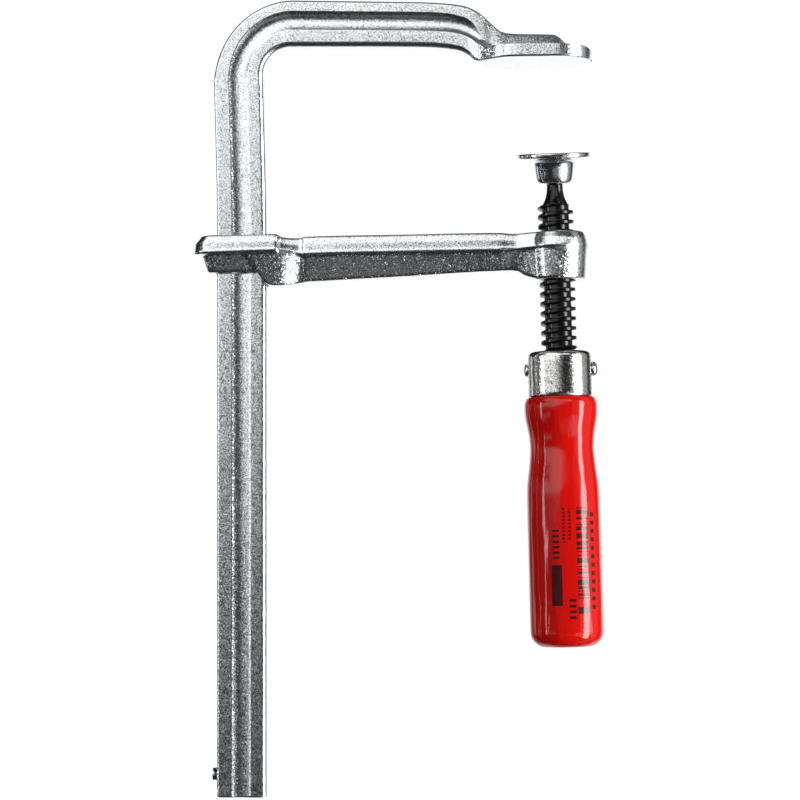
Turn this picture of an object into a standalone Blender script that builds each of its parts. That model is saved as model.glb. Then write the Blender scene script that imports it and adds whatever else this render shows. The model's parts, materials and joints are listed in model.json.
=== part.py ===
"""Screw clamp with a bent rail, a sliding arm and a wooden handle.

Metres, +Z up along the rail, +X from the rail towards the spindle.
The origin is the centre of the fixed jaw's clamping face.
Dimensions below are in millimetres, measured from the rail's centre line (X)
and the rail's lower end (Z); AX and AZ shift them into the part's frame.
"""
import math

import bmesh
import bpy
from mathutils import Matrix, Vector

MM = 0.001

# rail, bend and fixed jaw
RAIL_W = 20.5
RAIL_T = 10.0
RAIL_EDGE = 1.2
GROOVE_W = 7.9
GROOVE_D = 1.1
ARM_W = 19.6
LEAN_START = 232.0
LEAN = 1.5
BEND_X = 20.0
BEND_Z = 297.6
BEND_R = 21.5
BEND_THIN = 1.15
BEND_THICK = 0.6
ARM_RISE = 0.8
GROOVE_SHIFT = 1.1
JAW_Z = 302.0
JAW_T = 5.3
JAW_HALF = 15.0
THROAT = 120.0

# stop pin in the rail's outer edge
PIN_Z = 9.3
PIN_R = 2.6
PIN_OUT = 1.0
PIN_IN = 7.0

# sliding arm, modelled level and then cocked by its play on the rail
COCK = math.radians(1.15)
COCK_Z = 225.0
EYE_X = 10.8
EYE_Y = 5.35
BOSS_X = 130.4
BOSS_TOP = 228.4
BOSS_LOW = 208.6

# spindle: s runs up its axis from a point inside the boss
SPINDLE_X = 130.05
SPINDLE_Z = 221.0
THREAD_R = 7.4
THREAD_ROOT = 5.6
PITCH = 4.0
THREAD_TOP = 21.4
THREAD_END = -38.6
THREAD_GAP = 0.35
THREAD_CREST = 1.25
THREAD_PHASE = 1.4
NECK_R = 3.3
BALL_S = 35.6
BALL_R = 5.2
TANG_R = 5.0
TANG_END = -86.0

# ferrule, handle and cross pin
FERRULE_TOP = -39.2
FERRULE_END = -57.7
FERRULE_R = 13.35
FERRULE_WALL = 1.2
HANDLE_END = -160.0
CROSS_S = -46.6
CROSS_R = 2.3

# pressure pad
PAD_TILT = math.radians(8.0)
PAD_R = 15.05
PAD_TOP = 7.3

AX = RAIL_W / 2 + THROAT
AZ = JAW_Z
SEGMENTS = 48


def world(x, y, z):
    """Rail coordinates in millimetres to the part's frame in metres."""
    return Vector(((x - AX) * MM, y * MM, (z - AZ) * MM))


def make_material(name, color, metallic, roughness):
    mat = bpy.data.materials.new(name)
    mat.use_nodes = True
    shader = mat.node_tree.nodes["Principled BSDF"]
    shader.inputs["Base Color"].default_value = (*color, 1.0)
    shader.inputs["Metallic"].default_value = metallic
    shader.inputs["Roughness"].default_value = roughness
    return mat


def add_object(name, bm, mat, origin, sharp=35.0):
    """Turn a bmesh in part coordinates (metres) into a named object with its origin at origin."""
    bmesh.ops.remove_doubles(bm, verts=bm.verts, dist=2e-6)
    bmesh.ops.recalc_face_normals(bm, faces=bm.faces)
    bmesh.ops.translate(bm, verts=bm.verts, vec=-origin)
    mesh = bpy.data.meshes.new(name)
    bm.to_mesh(mesh)
    bm.free()
    mesh.polygons.foreach_set("use_smooth", [True] * len(mesh.polygons))
    mesh.set_sharp_from_angle(angle=math.radians(sharp))
    if mat is not None:
        mesh.materials.append(mat)
    obj = bpy.data.objects.new(name, mesh)
    obj.location = origin
    bpy.context.scene.collection.objects.link(obj)
    return obj


def add_boolean(obj, cutter, operation="DIFFERENCE"):
    modifier = obj.modifiers.new(cutter.name, "BOOLEAN")
    modifier.operation = operation
    modifier.solver = "EXACT"
    modifier.object = cutter
    cutter.hide_render = True
    cutter.display_type = "WIRE"


def loft(rings, place):
    """Closed solid through equal rings of points; place turns each point into a vertex position."""
    bm = bmesh.new()
    rows = [[bm.verts.new(place(*point)) for point in ring] for ring in rings]
    count = len(rings[0])
    for low, high in zip(rows, rows[1:]):
        for i in range(count):
            j = (i + 1) % count
            bm.faces.new((low[i], low[j], high[j], high[i]))
    bm.faces.new(rows[0])
    bm.faces.new(rows[-1])
    return bm


def revolve(profile, matrix, segments=SEGMENTS):
    """Solid of revolution; profile is (radius, height) in mm from one axis point to the other, or a closed ring."""
    bm = bmesh.new()
    rows = []
    for radius, height in profile:
        if radius < 1e-6:
            rows.append([bm.verts.new(matrix @ Vector((0.0, 0.0, height * MM)))])
            continue
        row = []
        for i in range(segments):
            angle = 2 * math.pi * i / segments
            point = Vector((radius * math.cos(angle), radius * math.sin(angle), height)) * MM
            row.append(bm.verts.new(matrix @ point))
        rows.append(row)
    pairs = list(zip(rows, rows[1:]))
    if len(rows[0]) > 1:
        pairs.append((rows[-1], rows[0]))
    for low, high in pairs:
        for i in range(segments):
            j = (i + 1) % segments
            if len(low) == 1:
                bm.faces.new((low[0], high[j], high[i]))
            elif len(high) == 1:
                bm.faces.new((low[i], low[j], high[0]))
            else:
                bm.faces.new((low[i], low[j], high[j], high[i]))
    return bm


def arc(cx, cy, radius, start, end, steps):
    """Points on an arc, angles in degrees."""
    points = []
    for i in range(steps + 1):
        angle = math.radians(start + (end - start) * i / steps)
        points.append((cx + radius * math.cos(angle), cy + radius * math.sin(angle)))
    return points


def bar_half(inner, outer, half, shift=0.0):
    """Half of the grooved rail section, from inner to outer edge, as (across, thickness)."""
    r = RAIL_EDGE
    mid = (inner + outer) / 2 + shift
    g = GROOVE_W / 2
    points = arc(inner + r, -(half - r), r, 180, 270, 3)
    for i in range(8):
        share = i / 7
        points.append((mid - g + 2 * g * share, -(half - GROOVE_D * bow(share))))
    points += arc(outer - r, -(half - r), r, 270, 360, 3)
    return points


def bow(share):
    """Depth of the round groove at a share of its width, from 0 at its edges to 1 in the middle."""
    g = GROOVE_W / 2
    radius = (g * g + GROOVE_D * GROOVE_D) / (2 * GROOVE_D)
    across = (2 * share - 1) * g
    return (math.sqrt(radius * radius - across * across) - radius + GROOVE_D) / GROOVE_D


def jaw_half(low, top, edge, fold, rib, depth, power):
    """Half section of the jaw: edge, groove and rib, in the same points as the rail's section.

    edge is (half-width, top height) of the plate's edge, fold is (half-width, groove's top height,
    side face's top height) and rib is the half-width under the top corners.
    """
    edge_half, edge_top = edge
    fold_half, groove_top, fold_top = fold
    r = 0.8 + 0.4 * max(0.0, 1.0 - (edge_half - 5.0) / 3.0)
    points = arc(low + r, -(edge_half - r), r, 180, 270, 3)
    for i in range(8):
        share = i / 7
        height = edge_top + (groove_top - edge_top) * share ** power
        half = edge_half + (fold_half - edge_half) * share
        points.append((height, -(half - depth * GROOVE_D / 2 * bow(share))))
    r = min(1.2, (top - fold_top) * 0.9)
    points.append((fold_top, -fold_half))
    points += arc(top - r, -(rib - r), r, 285, 360, 2)
    return points


def full_ring(half):
    """Mirror a half section about the rail's middle plane."""
    return list(half) + [(u, -v) for u, v in reversed(half)]


def smooth_step(value, low, high):
    t = min(max((value - low) / (high - low), 0.0), 1.0)
    return t * t * (3 - 2 * t)


def rail_sections():
    """Sections (origin x, z, outward direction, ring) from the rail's lower end to the jaw's tip."""
    sections = []
    left = (-1.0, 0.0)
    w = RAIL_W / 2
    t = RAIL_T / 2
    plain = bar_half(-w, w, t)
    tipped = [(u * (1 - 0.7 / w), v * (1 - 0.7 / t)) for u, v in plain]
    sections.append((0.0, 0.0, left, full_ring(tipped)))
    for z in (0.7, 120.0, LEAN_START):
        sections.append((0.0, z, left, full_ring(plain)))
    start_angle = math.radians(2.2)
    run = BEND_Z - BEND_R * math.sin(start_angle) - LEAN_START
    for share in (0.15, 0.35, 0.55, 0.8):
        slope = start_angle * math.sqrt(share)
        origin = (-LEAN * share ** 1.4, LEAN_START + run * share)
        sections.append((*origin, (-math.cos(slope), -math.sin(slope)), full_ring(plain)))
    end_angle = math.radians(90 + 1.6)
    steps = 14
    for i in range(steps + 1):
        angle = -start_angle + (start_angle + end_angle) * i / steps
        out = (-math.cos(angle), math.sin(angle))
        share = i / steps
        thin = BEND_THIN * math.sin(math.pi * share ** 0.7) - BEND_THICK * share ** 2
        outer = w - thin - (RAIL_W - ARM_W) * share
        inner = -w + ARM_RISE * share
        origin = (BEND_X + BEND_R * out[0], BEND_Z + BEND_R * out[1])
        sections.append((*origin, out, full_ring(bar_half(inner, outer, t, GROOVE_SHIFT * share))))
    return sections


def jaw_sections():
    """Upright sections (x, ring) from the straight top arm to the jaw's tip.

    Each row is x, low, top, edge half-width and top, groove depth and top, fold top and half-width,
    rib half-width, and how sharply the plate's top turns up into the rib.
    """
    rows = (
        (60.0, 309.0, 327.8, 5.0, 315.6, 2.0, 323.4, 326.6, 5.0, 5.0, 1.0),
        (79.7, 308.4, 327.1, 5.0, 315.0, 2.0, 322.8, 325.9, 5.0, 5.0, 1.0),
        (86.0, 307.7, 326.5, 5.0, 314.5, 2.0, 322.2, 325.3, 5.0, 5.0, 1.0),
        (90.5, 306.8, 325.9, 5.0, 313.7, 2.0, 321.1, 324.4, 5.0, 5.0, 1.0),
        (94.0, 305.1, 325.0, 5.1, 312.3, 1.9, 319.8, 323.4, 5.0, 5.0, 1.0),
        (97.0, 302.6, 323.6, 5.8, 310.2, 1.8, 316.9, 322.1, 5.0, 4.9, 1.0),
        (98.7, 302.0, 322.6, 6.8, 308.7, 1.6, 314.2, 318.2, 5.0, 4.5, 1.1),
        (100.3, 302.0, 321.4, 7.9, 308.0, 1.3, 311.9, 314.6, 5.0, 4.1, 1.3),
        (101.8, 302.0, 320.1, 9.1, 307.5, 0.9, 310.2, 311.8, 4.9, 3.8, 1.6),
        (103.3, 302.0, 318.6, 10.3, 307.2, 0.6, 308.9, 309.8, 4.7, 3.6, 2.0),
        (105.3, 302.0, 316.8, 11.9, 307.1, 0.3, 308.3, 309.2, 4.4, 3.5, 2.5),
        (107.5, 302.0, 315.1, 13.3, 307.1, 0.0, 308.2, 309.2, 4.2, 3.5, 3.0),
        (110.5, 302.0, 314.2, 14.6, 307.2, 0.0, 308.2, 309.2, 4.2, 3.5, 3.0),
        (114.0, 302.0, 313.9, 15.0, 307.2, 0.0, 308.2, 309.2, 4.2, 3.5, 3.0),
        (126.5, 302.0, 313.5, 15.0, 307.2, 0.0, 308.2, 309.2, 4.2, 3.5, 3.0),
        (129.3, 302.0, 313.3, 15.0, 307.2, 0.0, 308.1, 309.1, 4.2, 3.5, 3.0),
        (131.6, 302.0, 312.3, 14.94, 307.2, 0.0, 308.0, 308.9, 4.1, 3.4, 3.0),
        (133.5, 302.0, 310.4, 14.64, 307.1, 0.0, 307.8, 308.4, 4.0, 3.2, 3.0),
        (135.2, 302.0, 308.4, 14.16, 307.1, 0.0, 307.5, 307.8, 3.6, 2.9, 2.0),
    )
    sections = []
    for x, low, top, edge, edge_top, depth, groove, fold_top, fold_half, rib, power in rows:
        half = jaw_half(low, top, (edge, edge_top), (fold_half, groove, fold_top), rib, depth, power)
        sections.append((x, full_ring(half)))
    for swing in (29, 40, 51, 61, 70, 77, 82):
        x = AX + JAW_HALF * math.sin(math.radians(swing))
        half = JAW_HALF * math.cos(math.radians(swing))
        plate = JAW_Z + JAW_T - 0.25
        top = plate + 0.25 - 1.2 * smooth_step(swing, 45, 84)
        base = min(plate, top - 0.15)
        share = half / 6.0 if half < 6.0 else 1.0
        ring = jaw_half(JAW_Z, top, (half, base), (3.4 * share, top - 0.1, top - 0.06), 2.6 * share, 0.0, 1.0)
        sections.append((x, full_ring(ring)))
    return sections


def build_fixed_bar(mat):
    rings = []
    for x, z, out, ring in rail_sections():
        rings.append([(x + out[0] * u, v, z + out[1] * u) for u, v in ring])
    for x, ring in jaw_sections():
        rings.append([(x, v, u) for u, v in ring])
    bar = add_object("fixed_bar", loft(rings, world), mat, world(AX, 0, JAW_Z), 28.0)
    axis = Matrix.Translation(world(-RAIL_W / 2, 0, PIN_Z)) @ Matrix.Rotation(-math.pi / 2, 4, "Y")
    hole = [(0, 2), (PIN_R + 0.12, 2), (PIN_R + 0.12, -PIN_IN - 0.3), (0, -PIN_IN - 0.3)]
    add_boolean(bar, add_object("cut_pin_hole", revolve(hole, axis, 24), None, axis.translation.copy()))
    return bar


def build_stop_pin(mat):
    axis = Matrix.Translation(world(-RAIL_W / 2, 0, PIN_Z)) @ Matrix.Rotation(-math.pi / 2, 4, "Y")
    profile = [(0, PIN_OUT), (1.2, PIN_OUT * 0.9), (2.1, PIN_OUT * 0.55), (PIN_R, 0.0)]
    profile += [(PIN_R, -PIN_IN + 0.5), (PIN_R - 0.5, -PIN_IN), (0, -PIN_IN)]
    return add_object("rail_stop_pin", revolve(profile, axis, 24), mat, axis.translation.copy())


def cocked(x, y, z):
    """The arm's own level coordinates to the part's frame, turned by the arm's play on the rail."""
    dx = x
    dz = z - COCK_Z
    turned = (dx * math.cos(COCK) - dz * math.sin(COCK), dx * math.sin(COCK) + dz * math.cos(COCK))
    return world(turned[0], y, turned[1] + COCK_Z)


ARM_STATIONS = (
    # x, top, low, parting height, then half-widths at top, parting, under the flange and low
    (-15.2, 231.0, 215.4, 223.8, 9.0, 10.6, 9.0, 7.8),
    (14.6, 230.7, 215.4, 223.8, 9.2, 10.8, 8.6, 7.6),
    (15.5, 230.5, 214.9, 223.7, 8.9, 10.4, 8.2, 7.3),
    (16.3, 229.9, 214.3, 223.6, 7.6, 9.3, 7.8, 6.9),
    (18.0, 229.4, 213.3, 223.4, 7.1, 8.7, 7.4, 6.4),
    (21.5, 229.1, 211.7, 222.8, 6.4, 7.9, 6.9, 5.4),
    (24.6, 229.0, 210.9, 222.3, 5.9, 7.4, 6.6, 5.1),
    (26.4, 229.5, 210.8, 222.2, 6.7, 8.2, 7.3, 5.2),
    (31.0, 229.5, 210.9, 222.2, 6.7, 8.2, 7.3, 5.2),
    (70.0, 229.05, 211.9, 221.9, 6.6, 8.1, 7.2, 5.1),
    (107.0, 228.55, 212.9, 221.5, 6.5, 8.0, 7.1, 5.1),
    (110.5, 228.2, 212.9, 221.5, 6.0, 7.4, 6.8, 5.2),
    (113.5, 228.0, 212.5, 221.6, 5.9, 7.2, 6.8, 5.5),
    (116.5, 228.2, 210.6, 221.8, 6.4, 7.6, 7.2, 6.2),
)
ARM_LEVELS = {
    # level: half-width column, eye's outer end, its corner radius, boss radius
    "top": (4, -17.1, 5.0, 11.3),
    "middle": (4, -19.0, 6.0, 11.8),
    "part": (5, -19.7, 6.4, 12.7),
    "under": (6, -16.2, 4.2, 12.3),
    "low": (7, -14.4, 3.6, 11.3),
}
BOSS_STATION = (0, BOSS_TOP, BOSS_LOW, 222.2)


def arm_ring(level, inset, z_of):
    """One closed outline of the forging at a level, shrunk by inset; z_of gives each station's height."""
    column, left, corner, boss = ARM_LEVELS[level]
    eye = ARM_STATIONS[0]
    half = eye[column] - inset
    front = []
    for x, y in arc(left + inset + corner, -(half - corner), corner, 180, 270, 4):
        front.append((x, y, z_of(eye)))
    for row in ARM_STATIONS[1:]:
        front.append((row[0], -(row[column] - inset), z_of(row)))
    radius = boss - inset
    touch = math.degrees(math.asin(min((ARM_STATIONS[-1][column] - inset + 1.2) / radius, 0.9)))
    for x, y in arc(BOSS_X, 0, radius, 180 + touch, 360, 12):
        front.append((x, y, z_of(BOSS_STATION)))
    back = [(x, -y, z) for x, y, z in reversed(front[:-1])]
    return front + back


def flange_rings():
    return [
        arm_ring("top", 0.9, lambda row: row[1]),
        arm_ring("top", 0.25, lambda row: row[1] - 0.25),
        arm_ring("top", 0.0, lambda row: row[1] - 0.9),
        arm_ring("middle", -0.35, lambda row: row[1] * 0.55 + row[3] * 0.45),
        arm_ring("part", 0.15, lambda row: row[3] + 1.2),
        arm_ring("part", 0.0, lambda row: row[3] + 0.5),
        arm_ring("part", 0.0, lambda row: row[3] - 0.2),
        arm_ring("part", 0.5, lambda row: row[3] - 0.7),
    ]


def web_rings():
    return [
        arm_ring("under", 0.0, lambda row: row[3] + 1.0),
        arm_ring("under", 0.1, lambda row: row[3] - 1.2),
        arm_ring("low", 0.0, lambda row: row[2] + 0.9),
        arm_ring("low", 0.3, lambda row: row[2] + 0.25),
        arm_ring("low", 0.9, lambda row: row[2]),
    ]


def strip_solid(rings, place):
    """Stack of mirrored outlines closed top and bottom by strips across the middle plane."""
    bm = bmesh.new()
    rows = [[bm.verts.new(place(*point)) for point in ring] for ring in rings]
    count = len(rings[0])
    for low, high in zip(rows, rows[1:]):
        for i in range(count):
            j = (i + 1) % count
            bm.faces.new((low[i], low[j], high[j], high[i]))
    middle = count // 2
    for row in (rows[0], rows[-1]):
        for i in range(middle):
            a, b = i, i + 1
            c, d = count - 1 - i - 1, count - 1 - i
            corners = [row[a], row[b], row[c], row[d]]
            unique = list(dict.fromkeys(corners))
            if len(unique) > 2:
                bm.faces.new(unique)
    return bm


def hub_rings():
    """Wedge that thickens the arm where it meets the eye; its outer end slopes up to the flange."""
    rows = (
        # x, low, high, half-width at the flange, half-width low down
        (-1.4, 223.9, 224.6, 9.5, 9.4),
        (-0.4, 223.4, 224.6, 9.7, 9.5),
        (2.4, 221.3, 224.6, 9.9, 9.4),
        (5.0, 217.9, 224.6, 9.9, 9.0),
        (7.2, 214.3, 224.6, 9.9, 8.6),
        (9.6, 211.0, 224.6, 9.9, 8.3),
        (11.5, 209.7, 224.6, 9.9, 8.1),
        (13.4, 209.4, 224.6, 9.9, 7.9),
        (16.0, 209.4, 224.2, 9.8, 7.7),
        (20.2, 209.8, 223.4, 8.3, 6.25),
        (24.4, 210.4, 222.6, 6.9, 4.8),
        (26.0, 210.55, 222.4, 6.6, 4.7),
    )
    rings = []
    for x, low, high, upper, lower in rows:
        r = min(0.8, (high - low) * 0.4)
        half = [(x, -(lower - r), low), (x, -(lower - 0.3 * r), low + 0.3 * r), (x, -lower, low + r), (x, -upper, high)]
        rings.append(half + [(px, -py, pz) for px, py, pz in reversed(half)])
    return rings


def thread_solid(major, root, s_low, s_high, crest, matrix, per_turn=16):
    """Right-hand trapezoidal thread with its core, cut square at both ends."""
    flank = (major - root) * math.tan(math.radians(15))
    steps = ((0.0, root), (flank, major), (flank + crest, major), (2 * flank + crest, root))
    first = math.floor(s_low / PITCH) - 2
    turns = math.ceil((s_high - s_low) / PITCH) + 4
    bm = bmesh.new()
    rows = []
    for k in range(turns * per_turn + 1):
        angle = 2 * math.pi * k / per_turn
        base = PITCH * (first + k / per_turn)
        row = []
        for offset, radius in steps:
            point = Vector((radius * math.cos(angle), radius * math.sin(angle), base + offset))
            row.append(bm.verts.new(matrix @ (point * MM)))
        rows.append(row)
    for k in range(turns * per_turn):
        for j in range(3):
            bm.faces.new((rows[k][j], rows[k + 1][j], rows[k + 1][j + 1], rows[k][j + 1]))
        over = k + per_turn
        if over + 1 < len(rows):
            bm.faces.new((rows[k][3], rows[k + 1][3], rows[over + 1][0], rows[over][0]))
    axis = (matrix.to_3x3() @ Vector((0, 0, 1))).normalized()
    for s, clear_outer in ((s_low, False), (s_high, True)):
        cut = matrix @ Vector((0, 0, s * MM))
        geometry = bm.verts[:] + bm.edges[:] + bm.faces[:]
        result = bmesh.ops.bisect_plane(
            bm, geom=geometry, dist=1e-7, plane_co=cut, plane_no=axis,
            clear_outer=clear_outer, clear_inner=not clear_outer,
        )
        edges = [g for g in result["geom_cut"] if isinstance(g, bmesh.types.BMEdge)]
        bmesh.ops.remove_doubles(bm, verts=list({v for e in edges for v in e.verts}), dist=1e-6)
        rim = [e for e in bm.edges if len(e.link_faces) == 1 and near_plane(e, cut, axis)]
        bmesh.ops.contextual_create(bm, geom=rim)
    return bm


def near_plane(edge, point, normal):
    return all(abs((vert.co - point).dot(normal)) < 2e-6 for vert in edge.verts)


def spindle_matrix():
    """Height runs up the cocked spindle axis, zero at the reference point inside the boss."""
    return Matrix.Translation(world(SPINDLE_X, 0, SPINDLE_Z)) @ Matrix.Rotation(-COCK, 4, "Y")


def build_arm(mat):
    origin = world(0, 0, COCK_Z)
    arm = add_object("sliding_arm", strip_solid(flange_rings(), cocked), mat, origin, 28.0)
    web = add_object("join_web", strip_solid(web_rings(), cocked), None, origin)
    hub = add_object("join_hub", loft(hub_rings(), cocked), None, origin)
    add_boolean(arm, web, "UNION")
    add_boolean(arm, hub, "UNION")
    eye = [(-EYE_X, -EYE_Y), (EYE_X, -EYE_Y), (EYE_X, EYE_Y), (-EYE_X, EYE_Y)]
    rings = [[(x, y, z) for x, y in eye] for z in (200.0, 240.0)]
    add_boolean(arm, add_object("cut_eye", loft(rings, cocked), None, origin))
    matrix = spindle_matrix()
    gap = THREAD_GAP
    crest = THREAD_CREST + 2 * gap
    phase = THREAD_PHASE - gap
    bore = thread_solid(THREAD_R + gap, THREAD_ROOT + gap, -15.0, 13.0, crest, thread_shift(matrix, phase))
    add_boolean(arm, add_object("cut_thread", bore, None, matrix.translation.copy()))
    for name, mouth, sign in (("cut_mouth_top", 9.9, 1), ("cut_mouth_low", -10.4, -1)):
        cone = [(0, mouth - 2.2 * sign), (6.2, mouth - 2.2 * sign), (9.3, mouth + 0.9 * sign), (0, mouth + 0.9 * sign)]
        add_boolean(arm, add_object(name, revolve(cone, matrix, 32), None, matrix.translation.copy()))
    return arm


def thread_shift(matrix, amount):
    """Slide a thread along its axis without turning it."""
    return matrix @ Matrix.Translation(Vector((0, 0, amount * MM)))


def build_spindle(mat):
    matrix = spindle_matrix()
    ball = arc(0, BALL_S, BALL_R, 90, -math.degrees(math.acos(NECK_R / BALL_R)), 10)
    profile = [(0.0, BALL_S + BALL_R)] + ball[1:]
    profile += [(NECK_R, 29.6), (3.35, 27.0), (3.5, 25.4), (3.75, 23.8), (4.3, 22.5), (4.9, 21.6)]
    profile += [(THREAD_ROOT - 0.25, 20.4), (THREAD_ROOT - 0.25, THREAD_END + 1.0)]
    profile += [(TANG_R, THREAD_END - 0.2), (TANG_R, TANG_END + 1.0), (TANG_R - 1.0, TANG_END), (0.0, TANG_END)]
    spindle = add_object("spindle", revolve(profile, matrix, 32), mat, matrix.translation.copy(), 30.0)
    low = THREAD_END - THREAD_PHASE
    high = THREAD_TOP - THREAD_PHASE
    thread = thread_solid(THREAD_R, THREAD_ROOT, low, high, THREAD_CREST, thread_shift(matrix, THREAD_PHASE))
    add_boolean(spindle, add_object("join_thread", thread, None, matrix.translation.copy()), "UNION")
    add_boolean(spindle, cross_cutter("cut_tang_hole", CROSS_R + 0.15))
    return spindle


def cross_matrix():
    """Height runs along the cross pin, towards +X."""
    return spindle_matrix() @ Matrix.Translation(Vector((0, 0, CROSS_S * MM))) @ Matrix.Rotation(math.pi / 2, 4, "Y")


def cross_cutter(name, radius):
    matrix = cross_matrix()
    profile = [(0, 20), (radius, 20), (radius, -20), (0, -20)]
    return add_object(name, revolve(profile, matrix, 20), None, matrix.translation.copy())


def build_ferrule(mat):
    matrix = spindle_matrix()
    r, top, end, wall = FERRULE_R, FERRULE_TOP, FERRULE_END, FERRULE_WALL
    hole = TANG_R + 0.4
    profile = [(hole, top), (r - 2.4, top)] + arc(r - 2.2, top - 2.2, 2.2, 80, 0, 4)
    profile += [(r, end + 0.3), (r - 0.3, end), (r - wall, end)]
    profile += [(r - wall, top - 2.6), (r - wall - 0.5, top - wall - 0.5), (r - wall - 1.6, top - wall)]
    profile += [(hole, top - wall)]
    ferrule = add_object("ferrule", revolve(profile, matrix), mat, matrix.translation.copy(), 30.0)
    add_boolean(ferrule, cross_cutter("cut_ferrule_holes", CROSS_R + 0.15))
    return ferrule


def handle_outline():
    """Outer profile (radius, s) of the turned wooden handle, from the ferrule down to its end."""
    keys = ((13.3, -57.95), (14.2, -58.5), (14.8, -59.8), (15.0, -62.0), (14.9, -65.0), (14.5, -68.0))
    keys += ((13.8, -71.5), (13.2, -75.5), (13.0, -79.0), (13.3, -83.5), (14.0, -89.0), (14.6, -93.5))
    keys += ((14.85, -97.5), (14.9, -104.0), (15.0, -125.0), (15.05, -145.0))
    return list(keys) + arc(15.0 - 6.3, HANDLE_END + 6.3, 6.3, 0, -90, 7)


def build_handle(mat):
    matrix = spindle_matrix()
    tenon = FERRULE_R - FERRULE_WALL - 0.3
    bore = TANG_R + 0.35
    profile = [(bore, FERRULE_TOP - FERRULE_WALL - 0.3), (tenon - 1.8, FERRULE_TOP - FERRULE_WALL - 0.3)]
    profile += [(tenon, FERRULE_TOP - 3.6), (tenon, -57.95)]
    profile += handle_outline()
    profile += [(0.0, HANDLE_END), (0.0, TANG_END - 1.5), (bore, TANG_END - 0.6)]
    half = profile.index((0.0, HANDLE_END))
    outside = profile[:half + 1]
    inside = profile[half + 1:]
    ordered = inside + outside
    handle = add_object("handle", revolve(ordered, matrix), mat, matrix.translation.copy(), 40.0)
    add_boolean(handle, cross_cutter("cut_tenon_hole", CROSS_R + 0.15))
    return handle


def build_cross_pin(mat):
    right = FERRULE_R + 0.15
    left = -FERRULE_R - 0.15
    profile = [(0, right + 2.1), (1.3, right + 1.95), (2.4, right + 1.4), (3.1, right + 0.5), (3.15, right)]
    profile += [(CROSS_R, right), (CROSS_R, left), (2.7, left), (2.3, left - 0.7), (1.3, left - 1.15), (0, left - 1.3)]
    matrix = cross_matrix()
    return add_object("handle_cross_pin", revolve(profile, matrix, 20), mat, matrix.translation.copy())


def pad_matrix():
    """Height runs up the pad's own axis from the ball's centre."""
    base = spindle_matrix() @ Matrix.Translation(Vector((0, 0, BALL_S * MM)))
    return base @ Matrix.Rotation(PAD_TILT, 4, "X")


def build_pad(mat):
    matrix = pad_matrix()
    outside = [(0.0, PAD_TOP), (PAD_R - 0.35, PAD_TOP), (PAD_R, PAD_TOP - 0.4), (PAD_R, PAD_TOP - 1.5)]
    outside += [(PAD_R - 0.35, PAD_TOP - 2.1), (PAD_R - 1.2, PAD_TOP - 2.45), (9.8, 4.35), (8.8, 3.9)]
    outside += [(8.2, 3.1), (7.95, 0.8), (7.5, -3.4), (7.0, -4.5), (6.2, -5.1), (5.4, -5.2)]
    inside = [(4.95, -5.2), (4.95, -4.66)] + arc(0, 0, 6.8, -38, -2, 5)[0:] + [(5.5, -0.2)]
    inside += arc(0, 0, 5.5, 8, 90, 8)[:-1] + [(0.0, 5.5)]
    bm = revolve(outside + inside, matrix, 40)
    return add_object("pressure_plate", bm, mat, matrix.translation.copy(), 32.0)


def build_ring(mat):
    matrix = spindle_matrix() @ Matrix.Translation(Vector((0, 0, BALL_S * MM)))
    profile = arc(4.75, -3.9, 0.45, 0, 315, 7)
    return add_object("ball_retaining_ring", revolve(profile, matrix, 32), mat, matrix.translation.copy())


def main():
    for obj in list(bpy.data.objects):
        bpy.data.objects.remove(obj, do_unlink=True)
    zinc = make_material("zinc_forging", (0.62, 0.64, 0.66), 1.0, 0.38)
    zinc_arm = make_material("zinc_arm", (0.58, 0.60, 0.62), 1.0, 0.40)
    plated = make_material("plated_sheet", (0.68, 0.67, 0.65), 1.0, 0.22)
    plate = make_material("plated_pad", (0.64, 0.66, 0.68), 1.0, 0.25)
    black = make_material("black_oxide", (0.03, 0.03, 0.035), 1.0, 0.35)
    lacquer = make_material("red_lacquer", (0.62, 0.02, 0.02), 0.0, 0.12)
    pin_steel = make_material("pin_steel", (0.45, 0.46, 0.47), 1.0, 0.35)
    rivet = make_material("rivet_steel", (0.6, 0.6, 0.6), 1.0, 0.25)
    spring = make_material("spring_steel", (0.3, 0.3, 0.31), 1.0, 0.35)
    build_fixed_bar(zinc)
    build_stop_pin(pin_steel)
    build_arm(zinc_arm)
    build_spindle(black)
    build_ferrule(plated)
    build_handle(lacquer)
    build_cross_pin(rivet)
    build_pad(plate)
    build_ring(spring)


main()
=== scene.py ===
import json
import math

import bmesh
import bpy
from mathutils import Matrix, Vector

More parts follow.
